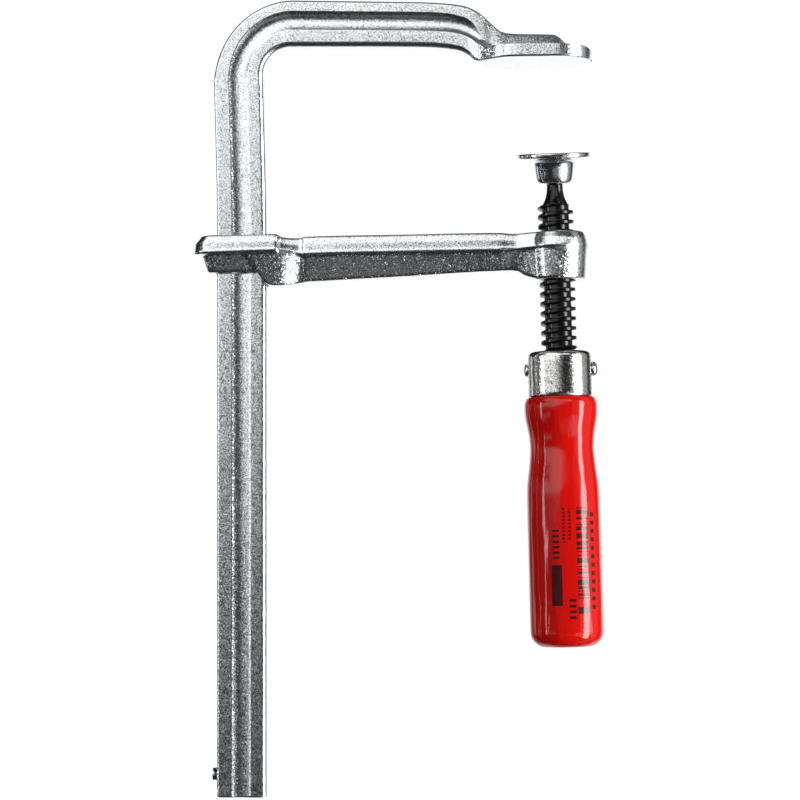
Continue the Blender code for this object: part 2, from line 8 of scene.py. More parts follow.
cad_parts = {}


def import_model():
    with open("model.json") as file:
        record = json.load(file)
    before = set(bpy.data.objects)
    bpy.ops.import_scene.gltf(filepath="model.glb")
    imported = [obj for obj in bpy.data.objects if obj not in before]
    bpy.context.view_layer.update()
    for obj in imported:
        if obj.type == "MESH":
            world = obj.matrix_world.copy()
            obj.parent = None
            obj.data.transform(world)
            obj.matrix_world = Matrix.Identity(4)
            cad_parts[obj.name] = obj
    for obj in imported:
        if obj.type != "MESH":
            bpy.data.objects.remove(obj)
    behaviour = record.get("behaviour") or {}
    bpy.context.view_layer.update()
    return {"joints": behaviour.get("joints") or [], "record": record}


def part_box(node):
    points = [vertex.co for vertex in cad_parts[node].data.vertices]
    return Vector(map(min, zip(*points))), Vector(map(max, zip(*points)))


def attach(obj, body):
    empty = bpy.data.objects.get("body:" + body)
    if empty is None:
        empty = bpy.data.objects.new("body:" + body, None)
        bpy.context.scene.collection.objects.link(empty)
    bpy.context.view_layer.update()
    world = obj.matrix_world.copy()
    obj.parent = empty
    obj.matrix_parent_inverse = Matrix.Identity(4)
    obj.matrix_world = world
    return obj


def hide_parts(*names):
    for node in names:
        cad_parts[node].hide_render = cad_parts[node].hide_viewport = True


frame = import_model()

# Sizes in millimetres. X is measured from the rail's centre line, Z from the rail's lower end;
# world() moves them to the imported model's frame, whose origin is the fixed jaw's face.
MM = 0.001
RAIL_W = 20.5
RAIL_T = 10.0
RAIL_EDGE = 1.2
INNER_EDGE = 2.1
LIP = 0.22
GROOVE_W = 7.9
GROOVE_D = 1.02
ARM_W = 19.6
LEAN_START = 232.0
LEAN = 1.5
BEND_X = 20.0
BEND_Z = 297.6
BEND_R = 21.5
BEND_THIN = 1.15
BEND_THICK = 0.6
ARM_RISE = 0.8
GROOVE_SHIFT = 1.1
THROAT = 120.0
JAW_T = 5.3
JAW_HALF = 15.0
PIN_Z = 9.3
PIN_R = 2.6
PIN_OUT = 1.0
PIN_IN = 7.0
COCK = math.radians(1.15)
COCK_Z = 225.0
EYE_X = 10.8
EYE_Y = 5.35
BOSS_X = 130.4
BOSS_TOP = 228.4
BOSS_LOW = 208.6
THREAD_R = 7.4
THREAD_ROOT = 5.6
PITCH = 4.0
THREAD_TOP = 21.4
THREAD_END = -38.6
THREAD_GAP = 0.35
THREAD_CREST = 1.25
THREAD_PHASE = 1.4
NECK_R = 3.3
BALL_S = 35.6
BALL_R = 5.2
TANG_R = 5.0
TANG_END = -86.0
FERRULE_TOP = -39.2
FERRULE_END = -57.7
FERRULE_R = 13.35
FERRULE_WALL = 1.2
HANDLE_END = -160.0
CROSS_S = -46.6
CROSS_R = 2.3
PAD_R = 15.05
PAD_TOP = 7.3

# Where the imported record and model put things.
JOINTS = {joint["name"]: joint for joint in frame["joints"]}
MOUNTS = {mount["name"]: mount for mount in frame["record"]["mounts"]}
JAW_FACE = Vector(MOUNTS["fixed_jaw_face"]["pos_m"]) / MM
RAIL_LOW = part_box("fixed_bar")[0]
JAW_Z = JAW_FACE.z - RAIL_LOW.z / MM
AX = RAIL_W / 2 + THROAT
SCREW_POINT = Vector(JOINTS["spindle_turn"]["pos_m"])
SCREW_AXIS = Vector(JOINTS["spindle_turn"]["axis"]).normalized()
BALL_POINT = Vector(JOINTS["pad_tilt"]["pos_m"])


def world(x, y, z):
    return Vector(((x - AX) * MM, y * MM, (z - JAW_Z) * MM))


def axis_matrix(point, axis):
    """Matrix whose Z runs along axis from point, with Y kept as it is."""
    z = Vector(axis).normalized()
    x = Vector((0, 1, 0)).cross(z).normalized()
    y = z.cross(x)
    return Matrix.Translation(point) @ Matrix((x, y, z)).transposed().to_4x4()


SCREW = axis_matrix(SCREW_POINT, SCREW_AXIS)


# ---------------------------------------------------------------- mesh helpers

def new_object(name, bm, material, sharp=35.0):
    bmesh.ops.remove_doubles(bm, verts=bm.verts, dist=1e-6)
    bmesh.ops.recalc_face_normals(bm, faces=bm.faces)
    mesh = bpy.data.meshes.new(name)
    bm.to_mesh(mesh)
    bm.free()
    mesh.polygons.foreach_set("use_smooth", [True] * len(mesh.polygons))
    mesh.set_sharp_from_angle(angle=math.radians(sharp))
    if material is not None:
        mesh.materials.append(material)
    obj = bpy.data.objects.new(name, mesh)
    bpy.context.scene.collection.objects.link(obj)
    return obj


def boolean(obj, cutter, operation="DIFFERENCE"):
    modifier = obj.modifiers.new(cutter.name, "BOOLEAN")
    modifier.operation = operation
    modifier.solver = "EXACT"
    modifier.object = cutter
    cutter.hide_render = True
    cutter.hide_viewport = True


def apply_modifiers(obj, sharp=None):
    """Bake the modifiers into the mesh and drop the helper objects that they used."""
    helpers = [m.object for m in obj.modifiers if m.type == "BOOLEAN"]
    for helper in helpers:
        helper.hide_viewport = False
    graph = bpy.context.evaluated_depsgraph_get()
    mesh = bpy.data.meshes.new_from_object(obj.evaluated_get(graph))
    obj.modifiers.clear()
    obj.data = mesh
    if sharp is not None:
        mesh.polygons.foreach_set("use_smooth", [True] * len(mesh.polygons))
        mesh.set_sharp_from_angle(angle=math.radians(sharp))
    for helper in helpers:
        bpy.data.objects.remove(helper, do_unlink=True)


def loft(rings, place):
    bm = bmesh.new()
    rows = [[bm.verts.new(place(*point)) for point in ring] for ring in rings]
    count = len(rings[0])
    for low, high in zip(rows, rows[1:]):
        for i in range(count):
            j = (i + 1) % count
            bm.faces.new((low[i], low[j], high[j], high[i]))
    for row in (rows[0], rows[-1]):
        middle = count // 2
        for i in range(middle - 1):
            bm.faces.new((row[i], row[i + 1], row[count - 2 - i], row[count - 1 - i]))
    return bm


def revolve(profile, matrix, segments=96):
    """Surface of revolution through (radius, height) points in mm."""
    bm = bmesh.new()
    rows = []
    for radius, height in profile:
        if radius < 1e-6:
            rows.append([bm.verts.new(matrix @ Vector((0.0, 0.0, height * MM)))])
            continue
        row = []
        for i in range(segments):
            angle = 2 * math.pi * i / segments
            point = Vector((radius * math.cos(angle), radius * math.sin(angle), height)) * MM
            row.append(bm.verts.new(matrix @ point))
        rows.append(row)
    pairs = list(zip(rows, rows[1:]))
    if len(rows[0]) > 1 and len(rows[-1]) > 1:
        pairs.append((rows[-1], rows[0]))
    for low, high in pairs:
        for i in range(segments):
            j = (i + 1) % segments
            if len(low) == 1:
                bm.faces.new((low[0], high[j], high[i]))
            elif len(high) == 1:
                bm.faces.new((low[i], low[j], high[0]))
            else:
                bm.faces.new((low[i], low[j], high[j], high[i]))
    return bm


def arc(cx, cy, radius, start, end, steps):
    points = []
    for i in range(steps + 1):
        angle = math.radians(start + (end - start) * i / steps)
        points.append((cx + radius * math.cos(angle), cy + radius * math.sin(angle)))
    return points


def smooth_step(value, low, high):
    t = min(max((value - low) / (high - low), 0.0), 1.0)
    return t * t * (3 - 2 * t)


def curve_through(xs, ys):
    """Monotone cubic through the points, so that it never overshoots them."""
    n = len(xs)
    steps = [xs[i + 1] - xs[i] for i in range(n - 1)]
    slopes = [(ys[i + 1] - ys[i]) / steps[i] for i in range(n - 1)]
    tangents = [slopes[0]]
    for i in range(1, n - 1):
        if slopes[i - 1] * slopes[i] <= 0:
            tangents.append(0.0)
        else:
            a = 2 * steps[i] + steps[i - 1]
            b = steps[i] + 2 * steps[i - 1]
            tangents.append((a + b) / (a / slopes[i - 1] + b / slopes[i]))
    tangents.append(slopes[-1])

    def at(x):
        x = min(max(x, xs[0]), xs[-1])
        k = 0
        while k < n - 2 and x > xs[k + 1]:
            k += 1
        h = steps[k]
        t = (x - xs[k]) / h
        return (
            ys[k] * (1 + 2 * t) * (1 - t) ** 2 + tangents[k] * h * t * (1 - t) ** 2
            + ys[k + 1] * t * t * (3 - 2 * t) + tangents[k + 1] * h * t * t * (t - 1)
        )
    return at


def table_curves(rows):
    """One curve per column of a table whose first column is where along the part the row stands."""
    xs = [row[0] for row in rows]
    return [curve_through(xs, [row[i] for row in rows]) for i in range(1, len(rows[0]))]


def spread(low, high, step):
    count = max(1, round((high - low) / step))
    return [low + (high - low) * i / count for i in range(count)]


def smooth_profile(keys, step):
    """Points of a smooth curve (radius against height) through a turned part's key points."""
    heights = [-s for _, s in keys]
    radius = curve_through(heights, [r for r, _ in keys])
    inner = spread(heights[0], heights[-1], step) + [heights[-1]]
    return [(radius(h), -h) for h in inner]


# ---------------------------------------------------------------- rail, bend and fixed jaw

GROOVE_POINTS = 26
CORNER = 6


def groove_depth(share, soft=0.045):
    """Depth of the rolled groove at a share of its width, its two lips slightly rounded, 1 in the middle."""
    g = GROOVE_W / 2
    radius = (g * g + GROOVE_D * GROOVE_D) / (2 * GROOVE_D)
    across = (2 * share - 1) * g
    depth = math.sqrt(radius * radius - across * across) - radius + GROOVE_D
    return (depth + math.sqrt(depth * depth + soft * soft)) / 2 / GROOVE_D


def bar_half(inner, outer, half, shift=0.0):
    mid = (inner + outer) / 2 + shift
    g = GROOVE_W / 2
    r = INNER_EDGE
    points = arc(inner + r, -(half - r), r, 180, 270, CORNER)
    points.append((mid - g - LIP, -half))
    for i in range(GROOVE_POINTS):
        share = i / (GROOVE_POINTS - 1)
        points.append((mid - g + 2 * g * share, -(half - GROOVE_D * groove_depth(share))))
    points.append((mid + g + LIP, -half))
    r = RAIL_EDGE
    return points + arc(outer - r, -(half - r), r, 270, 360, CORNER)


def jaw_half(low, top, edge, fold, rib, depth, power):
    edge_half, edge_top = edge
    fold_half, groove_top, fold_top = fold
    r = 0.8 + 1.3 * max(0.0, 1.0 - (edge_half - 5.0) / 2.0)
    points = arc(low + r, -(edge_half - r), r, 180, 270, CORNER)
    points.append((edge_top - LIP, -edge_half))
    for i in range(GROOVE_POINTS):
        share = i / (GROOVE_POINTS - 1)
        height = edge_top + (groove_top - edge_top) * share ** power
        half = edge_half + (fold_half - edge_half) * share
        points.append((height, -(half - depth * GROOVE_D / 2 * groove_depth(share))))
    r = min(1.2, (top - fold_top) * 0.9)
    points.append((groove_top + min(LIP, (fold_top - groove_top) * 0.5), -fold_half))
    points.append((fold_top, -fold_half))
    return points + arc(top - r, -(rib - r), r, 285, 360, CORNER - 1)


def full_ring(half):
    return list(half) + [(u, -v) for u, v in reversed(half)]


def rail_sections():
    sections = []
    left = (-1.0, 0.0)
    w = RAIL_W / 2
    t = RAIL_T / 2
    plain = bar_half(-w, w, t)
    for inset, z in ((0.9, 0.0), (0.45, 0.12), (0.12, 0.45), (0.0, 0.9)):
        tipped = [(u * (1 - inset / w), v * (1 - inset / t)) for u, v in plain]
        sections.append((0.0, z, left, full_ring(tipped)))
    for z in (40.0, 80.0, 120.0, 160.0, 200.0, LEAN_START):
        sections.append((0.0, z, left, full_ring(plain)))
    start_angle = math.radians(2.2)
    run = BEND_Z - BEND_R * math.sin(start_angle) - LEAN_START
    for i in range(1, 12):
        share = i / 12
        slope = start_angle * math.sqrt(share)
        origin = (-LEAN * share ** 1.4, LEAN_START + run * share)
        sections.append((*origin, (-math.cos(slope), -math.sin(slope)), full_ring(plain)))
    end_angle = math.radians(90 + 1.6)
    steps = 56
    for i in range(steps + 1):
        angle = -start_angle + (start_angle + end_angle) * i / steps
        out = (-math.cos(angle), math.sin(angle))
        share = i / steps
        thin = BEND_THIN * math.sin(math.pi * share ** 0.7) - BEND_THICK * share ** 2
        outer = w - thin - (RAIL_W - ARM_W) * share
        inner = -w + ARM_RISE * share
        origin = (BEND_X + BEND_R * out[0], BEND_Z + BEND_R * out[1])
        sections.append((*origin, out, full_ring(bar_half(inner, outer, t, GROOVE_SHIFT * share))))
    return sections


# x, low, top, edge half-width and top, groove depth (in halves of GROOVE_D) and top,
# fold top and half-width, rib half-width, and how sharply the plate's top turns up into the rib
JAW_ROWS = (
    (60.0, 309.0, 327.8, 5.0, 315.6, 2.0, 323.4, 326.6, 5.0, 5.0, 1.0),
    (79.7, 308.4, 327.1, 5.0, 315.0, 2.0, 322.8, 325.9, 5.0, 5.0, 1.0),
    (86.0, 307.7, 326.5, 5.0, 314.5, 2.0, 322.2, 325.3, 5.0, 5.0, 1.0),
    (90.5, 306.8, 325.9, 5.0, 313.7, 2.0, 321.1, 324.4, 5.0, 5.0, 1.0),
    (94.0, 305.1, 325.0, 5.1, 312.3, 1.9, 319.8, 323.4, 5.0, 5.0, 1.0),
    (97.0, 302.6, 323.6, 5.8, 310.2, 1.8, 316.9, 322.1, 5.0, 4.9, 1.0),
    (98.7, 302.0, 322.6, 6.8, 308.7, 1.6, 314.2, 318.2, 5.0, 4.5, 1.1),
    (100.3, 302.0, 321.4, 7.9, 308.0, 1.3, 311.9, 314.6, 5.0, 3.9, 1.3),
    (101.8, 302.0, 320.1, 9.1, 307.5, 0.9, 310.2, 311.8, 4.9, 3.5, 1.6),
    (103.3, 302.0, 318.6, 10.3, 307.2, 0.6, 308.9, 309.8, 4.7, 3.2, 2.0),
    (105.3, 302.0, 316.8, 11.9, 307.1, 0.3, 308.3, 309.2, 4.4, 2.9, 2.5),
    (107.5, 302.0, 315.1, 13.3, 307.1, 0.0, 308.2, 309.2, 4.2, 2.8, 3.0),
    (110.5, 302.0, 314.2, 14.6, 307.2, 0.0, 308.2, 309.2, 4.2, 2.8, 3.0),
    (114.0, 302.0, 313.9, 15.0, 307.2, 0.0, 308.2, 309.2, 4.2, 2.8, 3.0),
    (126.5, 302.0, 313.5, 15.0, 307.2, 0.0, 308.2, 309.2, 4.2, 2.8, 3.0),
    (129.3, 302.0, 313.3, 15.0, 307.2, 0.0, 308.1, 309.1, 4.2, 2.8, 3.0),
    (131.6, 302.0, 312.3, 14.94, 307.2, 0.0, 308.0, 308.9, 4.1, 2.8, 3.0),
    (133.5, 302.0, 310.4, 14.64, 307.1, 0.0, 307.8, 308.4, 4.0, 2.8, 3.0),
    (135.2, 302.0, 308.4, 14.16, 307.1, 0.0, 307.5, 307.8, 3.6, 2.7, 2.0),
)


def jaw_sections():
    curves = table_curves(JAW_ROWS)
    stations = spread(60, 84, 4) + spread(84, 112, 0.5) + spread(112, 127, 1.5)
    stations += spread(127, 135.2, 0.4) + [135.2]
    sections = []
    for x in stations:
        low, top, edge, edge_top, depth, groove, fold_top, fold_half, rib, power = (c(x) for c in curves)
        half = jaw_half(low, top, (edge, edge_top), (fold_half, groove, fold_top), rib, depth, power)
        sections.append((x, full_ring(half)))
    for i in range(24):
        swing = 24 + (84 - 24) * i / 23
        x = AX + JAW_HALF * math.sin(math.radians(swing))
        if x < 135.6:
            continue
        half = JAW_HALF * math.cos(math.radians(swing))
        plate = JAW_Z + JAW_T - 0.25
        top = plate + 0.25 - 1.2 * smooth_step(swing, 45, 84)
        base = min(plate, top - 0.15)
        share = half / 6.0 if half < 6.0 else 1.0
        ring = jaw_half(JAW_Z, top, (half, base), (3.4 * share, top - 0.1, top - 0.06), 2.6 * share, 0.0, 1.0)
        sections.append((x, full_ring(ring)))
    return sections


def build_bar(material):
    rings = []
    for x, z, out, ring in rail_sections():
        rings.append([(x + out[0] * u, v, z + out[1] * u) for u, v in ring])
    for x, ring in jaw_sections():
        rings.append([(x, v, u) for u, v in ring])
    bar = new_object("bar_forging", loft(rings, world), material, 30.0)
    hole = [(0, 2), (PIN_R + 0.12, 2), (PIN_R + 0.12, -PIN_IN - 0.3), (0, -PIN_IN - 0.3)]
    boolean(bar, new_object("hole", revolve(hole, pin_matrix(), 48), None))
    weighted = bar.modifiers.new("weighted", "WEIGHTED_NORMAL")
    weighted.keep_sharp = True
    weighted.weight = 80
    apply_modifiers(bar)
    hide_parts("fixed_bar")
    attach(bar, "bar")


def pin_matrix():
    return Matrix.Translation(world(-RAIL_W / 2, 0, PIN_Z)) @ Matrix.Rotation(-math.pi / 2, 4, "Y")


def build_stop_pin(material):
    dome = [(0, PIN_OUT)] + arc(0, -2.9, 3.9, 84, 48, 8)
    profile = dome + [(PIN_R, -0.15), (PIN_R, -PIN_IN + 0.5), (PIN_R - 0.5, -PIN_IN), (0, -PIN_IN)]
    pin = new_object("stop_pin", revolve(profile, pin_matrix(), 48), material)
    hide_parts("rail_stop_pin")
    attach(pin, "bar")


# ---------------------------------------------------------------- sliding arm

# x, top, low, parting height, then half-widths at top, parting, under the flange and low
ARM_STATIONS = (
    (-15.2, 231.0, 215.4, 223.8, 9.0, 10.6, 9.0, 7.8),
    (14.6, 230.7, 215.4, 223.8, 9.2, 10.8, 8.6, 7.6),
    (15.3, 230.6, 214.9, 223.7, 9.0, 10.6, 8.3, 7.3),
    (16.1, 230.0, 214.4, 223.6, 7.0, 8.5, 7.6, 6.9),
    (17.6, 229.5, 213.5, 223.4, 6.4, 7.8, 7.2, 6.4),
    (21.5, 229.1, 211.7, 222.8, 6.2, 7.6, 6.8, 5.4),
    (24.4, 229.0, 210.9, 222.3, 6.05, 7.45, 6.6, 5.1),
    (25.4, 229.2, 210.8, 222.2, 6.3, 7.75, 6.8, 5.2),
    (26.4, 229.5, 210.8, 222.2, 6.7, 8.2, 7.3, 5.2),
    (31.0, 229.5, 210.9, 222.2, 6.7, 8.2, 7.3, 5.2),
    (70.0, 229.05, 211.9, 221.9, 6.6, 8.1, 7.2, 5.1),
    (107.0, 228.55, 212.9, 221.5, 6.5, 8.0, 7.1, 5.1),
    (110.5, 228.2, 212.9, 221.5, 6.0, 7.4, 6.8, 5.2),
    (113.5, 228.0, 212.5, 221.6, 5.9, 7.2, 6.8, 5.5),
    (116.5, 228.2, 210.6, 221.8, 6.4, 7.6, 7.2, 6.2),
)
ARM_LEVELS = {
    # level: half-width column, eye's outer end, its corner radius, boss radius
    "top": (4, -17.1, 5.0, 11.3),
    "middle": (4, -19.0, 6.0, 11.8),
    "part": (5, -19.7, 6.4, 12.7),
    "under": (6, -16.2, 4.2, 12.3),
    "low": (7, -14.4, 3.6, 11.3),
}
BOSS_STATION = (0, BOSS_TOP, BOSS_LOW, 222.2)
HUB_ROWS = (
    # x, low, high, half-width at the flange, half-width low down
    (-2.4, 223.9, 224.6, 9.3, 9.2),
    (-0.4, 223.5, 224.6, 9.6, 9.5),
    (2.4, 221.4, 224.6, 9.9, 9.4),
    (5.0, 217.9, 224.6, 9.9, 9.0),
    (7.2, 214.3, 224.6, 9.9, 8.6),
    (9.6, 211.0, 224.6, 9.9, 8.3),
    (11.5, 209.7, 224.6, 9.9, 8.1),
    (13.4, 209.4, 224.2, 9.9, 7.95),
    (16.0, 209.4, 223.5, 9.6, 7.7),
    (24.4, 210.4, 222.3, 7.0, 4.8),
    (26.0, 210.6, 222.1, 6.6, 4.7),
)
ARM_CURVES = table_curves(ARM_STATIONS)


def arm_station(x):
    return (x, *(curve(x) for curve in ARM_CURVES))


def arm_ring(level, inset, z_of):
    column, left, corner, boss = ARM_LEVELS[level]
    eye = ARM_STATIONS[0]
    half = eye[column] - inset
    front = []
    for x, y in arc(left + inset + corner, -(half - corner), corner, 180, 270, 10):
        front.append((x, y, z_of(eye)))
    last = ARM_STATIONS[-1]
    for x in spread(-4, 14, 5) + spread(14, 32, 0.4) + spread(32, 106, 6) + spread(106, 116.5, 0.6) + [116.5]:
        row = arm_station(x)
        front.append((x, -(row[column] - inset), z_of(row)))
    radius = boss - inset
    touch = math.degrees(math.asin(min((last[column] - inset + 1.2) / radius, 0.9)))
    for x, y in arc(BOSS_X, 0, radius, 180 + touch, 360, 40):
        front.append((x, y, z_of(BOSS_STATION)))
    back = [(x, -y, z) for x, y, z in reversed(front[:-1])]
    return front + back


def arm_rings():
    return [
        arm_ring("top", 1.1, lambda row: row[1]),
        arm_ring("top", 0.55, lambda row: row[1] - 0.12),
        arm_ring("top", 0.2, lambda row: row[1] - 0.4),
        arm_ring("top", 0.0, lambda row: row[1] - 1.0),
        arm_ring("middle", -0.35, lambda row: row[1] * 0.55 + row[3] * 0.45),
        arm_ring("part", 0.15, lambda row: row[3] + 1.2),
        arm_ring("part", 0.0, lambda row: row[3] + 0.5),
        arm_ring("part", 0.0, lambda row: row[3] - 0.2),
        arm_ring("part", 0.5, lambda row: row[3] - 0.75),
        arm_ring("under", 0.0, lambda row: row[3] - 1.0),
        arm_ring("under", 0.1, lambda row: row[3] - 1.4),
        arm_ring("low", 0.0, lambda row: row[2] + 1.1),
        arm_ring("low", 0.25, lambda row: row[2] + 0.45),
        arm_ring("low", 0.6, lambda row: row[2] + 0.12),
        arm_ring("low", 1.1, lambda row: row[2]),
    ]


def stack_solid(rings, place):
    """Mirrored outlines one above the other, closed at top and bottom across the middle plane."""
    bm = bmesh.new()
    rows = [[bm.verts.new(place(*point)) for point in ring] for ring in rings]
    count = len(rings[0])
    for low, high in zip(rows, rows[1:]):
        for i in range(count):
            j = (i + 1) % count
            bm.faces.new((low[i], low[j], high[j], high[i]))
    middle = count // 2
    for row in (rows[0], rows[-1]):
        for i in range(middle):
            corners = [row[i], row[i + 1], row[count - 2 - i], row[count - 1 - i]]
            unique = list(dict.fromkeys(corners))
            if len(unique) > 2:
                bm.faces.new(unique)
    return bm


def hub_rings():
    curves = table_curves(HUB_ROWS)
    rings = []
    for x in spread(-2.4, 26.0, 0.5) + [26.0]:
        low, high, upper, lower = (curve(x) for curve in curves)
        r = min(1.0, (high - low) * 0.4)
        half = [(x, y, z) for y, z in arc(-(lower - r), low + r, r, 270, 180, 4)]
        half.append((x, -upper, high))
        rings.append(half + [(px, -py, pz) for px, py, pz in reversed(half)])
    return rings


def cocked(x, y, z):
    dz = z - COCK_Z
    cos, sin = math.cos(COCK), math.sin(COCK)
    return world(x * cos - dz * sin, y, x * sin + dz * cos + COCK_Z)


def remesh(obj, voxel, smooth):
    modifier = obj.modifiers.new("voxels", "REMESH")
    modifier.mode = "VOXEL"
    modifier.voxel_size = voxel * MM
    modifier.use_smooth_shade = True
    modifier = obj.modifiers.new("soften", "SMOOTH")
    modifier.factor = 0.5
    modifier.iterations = smooth


def build_arm(material):
    bm = stack_solid(arm_rings(), cocked)
    hub = loft(hub_rings(), cocked)
    bmesh.ops.recalc_face_normals(bm, faces=bm.faces)
    bmesh.ops.recalc_face_normals(hub, faces=hub.faces)
    spare = bpy.data.meshes.new("hub")
    hub.to_mesh(spare)
    hub.free()
    bm.from_mesh(spare)
    mesh = bpy.data.meshes.new("arm_forging")
    bm.to_mesh(mesh)
    bm.free()
    mesh.materials.append(material)
    arm = bpy.data.objects.new("arm_forging", mesh)
    bpy.context.scene.collection.objects.link(arm)
    remesh(arm, 0.42, 3)
    apply_modifiers(arm, 180.0)
    eye = [(-EYE_X, -EYE_Y), (EYE_X, -EYE_Y), (EYE_X, EYE_Y), (-EYE_X, EYE_Y)]
    rings = [[(x, y, z) for x, y in eye] for z in (200.0, 240.0)]
    boolean(arm, new_object("eye", loft(rings, cocked), None))
    gap = THREAD_GAP
    major, root, crest = THREAD_R + gap, THREAD_ROOT + gap, THREAD_CREST + 2 * gap
    bore = screw_thread(major, root, -15.0, 13.0, crest, THREAD_PHASE - gap, 48, 1.0)
    boolean(arm, new_object("bore", bore, None, 40.0))
    for name, mouth, sign in (("mouth_top", 9.9, 1), ("mouth_low", -10.4, -1)):
        inner, outer = mouth - 2.2 * sign, mouth + 0.9 * sign
        cone = [(0, inner), (6.2, inner), (9.3, outer), (0, outer)]
        boolean(arm, new_object(name, revolve(cone, SCREW, 64), None))
    apply_modifiers(arm, 50.0)
    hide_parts("sliding_arm")
    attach(arm, "arm")


# ---------------------------------------------------------------- spindle

def screw_thread(major, root, low, high, crest, phase, around, fine=0.25, chamfer=None):
    """Closed solid of a right-hand trapezoidal thread, its rows following the helix.

    chamfer gives the largest radius at each height, for the run-outs at the ends.
    """
    flank = (major - root) * math.tan(math.radians(15))
    per_turn = max(8, round(PITCH / fine))

    def radius_at(u):
        u = (u - phase) % PITCH
        rise = smooth_step(u, -0.05, flank + 0.05) if u < PITCH / 2 else 1.0
        fall = 1.0 - smooth_step(u, flank + crest - 0.05, 2 * flank + crest + 0.05)
        return root + (major - root) * min(rise, fall)

    bm = bmesh.new()
    first = math.floor(low / PITCH) - 1
    last = math.ceil(high / PITCH) + 1
    total = (last - first) * per_turn
    columns = []
    for i in range(around + 1):
        turn = i / around
        angle = 2 * math.pi * turn
        column = []
        for j in range(total + 1):
            s = PITCH * (first + j / per_turn + turn)
            kept = min(max(s, low), high)
            radius = radius_at(kept - PITCH * turn)
            if chamfer is not None:
                radius = min(radius, chamfer(kept))
            point = Vector((radius * math.cos(angle), radius * math.sin(angle), kept)) * MM
            column.append(bm.verts.new(SCREW @ point))
        columns.append(column)
    for a, b in zip(columns, columns[1:]):
        for j in range(total):
            bm.faces.new((a[j], b[j], b[j + 1], a[j + 1]))
    bmesh.ops.remove_doubles(bm, verts=bm.verts, dist=1e-6)
    rim = [e for e in bm.edges if len(e.link_faces) == 1]
    bmesh.ops.holes_fill(bm, edges=rim, sides=0)
    return bm


def build_spindle(material):
    ball = arc(0, BALL_S, BALL_R, 90, -math.degrees(math.acos(NECK_R / BALL_R)), 22)
    neck_keys = (
        (NECK_R, 30.4), (NECK_R + 0.03, 28.8), (3.45, 27.2), (3.75, 25.6), (4.15, 24.2),
        (4.7, 22.9), (5.35, 21.6))
    neck = smooth_profile(neck_keys, 0.4)
    profile = [(0.0, BALL_S + BALL_R)] + ball[1:] + neck
    core = THREAD_ROOT - 0.25
    profile += [(core, 20.0), (core, THREAD_END + 1.0)]
    profile += [(TANG_R, THREAD_END - 0.2), (TANG_R, TANG_END + 1.0)]
    profile += [(TANG_R - 1.0, TANG_END), (0.0, TANG_END)]
    spindle = new_object("screw_spindle", revolve(profile, SCREW, 64), material, 40.0)

    def chamfer(s):
        return min(6.2 + (THREAD_TOP - s) * 1.4, 6.0 + (s - THREAD_END) * 1.6)

    thread = screw_thread(
        THREAD_R, THREAD_ROOT, THREAD_END, THREAD_TOP, THREAD_CREST, THREAD_PHASE, 72, 0.2, chamfer)
    boolean(spindle, new_object("thread", thread, material, 40.0), "UNION")
    boolean(spindle, new_object("tang_hole", cross_bore(), None))
    apply_modifiers(spindle, 42.0)
    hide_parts("spindle")
    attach(spindle, "screw")


# ---------------------------------------------------------------- ferrule, handle, pins, pad

def cross_matrix():
    return SCREW @ Matrix.Translation(Vector((0, 0, CROSS_S * MM))) @ Matrix.Rotation(math.pi / 2, 4, "Y")


def cross_bore():
    radius = CROSS_R + 0.15
    return revolve([(0, 20), (radius, 20), (radius, -20), (0, -20)], cross_matrix(), 40)


def build_ferrule(material):
    r, top, end, wall = FERRULE_R, FERRULE_TOP, FERRULE_END, FERRULE_WALL
    hole = TANG_R + 0.4
    profile = [(hole, top - 0.15), (hole + 0.2, top), (r - 2.7, top)]
    profile += arc(r - 2.4, top - 2.4, 2.4, 84, 0, 12)
    profile += [(r, -46.0), (r, -52.0), (r, end + 1.5)]
    profile += [(r + 0.02, end + 0.5), (r - 0.1, end + 0.15), (r - 0.35, end), (r - wall, end + 0.1)]
    profile += [(r - wall, top - 2.6), (r - wall - 0.5, top - wall - 0.5), (r - wall - 1.6, top - wall)]
    profile += [(hole, top - wall)]
    ferrule = new_object("ferrule_cap", revolve(profile, SCREW, 128), material, 40.0)
    boolean(ferrule, new_object("ferrule_holes", cross_bore(), None))
    apply_modifiers(ferrule, 40.0)
    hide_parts("ferrule")
    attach(ferrule, "screw")


HANDLE_KEYS = (
    (14.2, -58.5), (14.8, -59.8), (15.0, -62.0), (14.9, -65.0), (14.5, -68.0), (13.8, -71.5),
    (13.25, -75.5), (13.1, -79.0), (13.4, -83.5), (14.1, -89.0), (14.65, -93.5), (14.87, -97.5),
    (14.92, -104.0), (15.0, -125.0), (15.05, -145.0), (15.03, HANDLE_END + 6.3),
)


def build_handle(material):
    tenon = FERRULE_R - FERRULE_WALL - 0.3
    bore = TANG_R + 0.35
    profile = [(0.0, TANG_END - 1.5), (bore, TANG_END - 0.6), (bore, FERRULE_TOP - FERRULE_WALL - 0.3)]
    profile += [(tenon - 1.8, FERRULE_TOP - FERRULE_WALL - 0.3), (tenon, FERRULE_TOP - 3.6), (tenon, -57.95)]
    profile += [(13.0, -57.93), (13.5, -58.02), (13.9, -58.22)]
    profile += smooth_profile(HANDLE_KEYS, 1.0)
    profile += arc(15.03 - 6.3, HANDLE_END + 6.3, 6.3, -6, -90, 14)
    profile += [(5.0, HANDLE_END), (2.0, HANDLE_END), (0.0, HANDLE_END)]
    handle = new_object("wooden_handle", revolve(profile, SCREW, 128), material, 45.0)
    boolean(handle, new_object("tenon_hole", cross_bore(), None))
    apply_modifiers(handle, 45.0)
    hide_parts("handle")
    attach(handle, "screw")


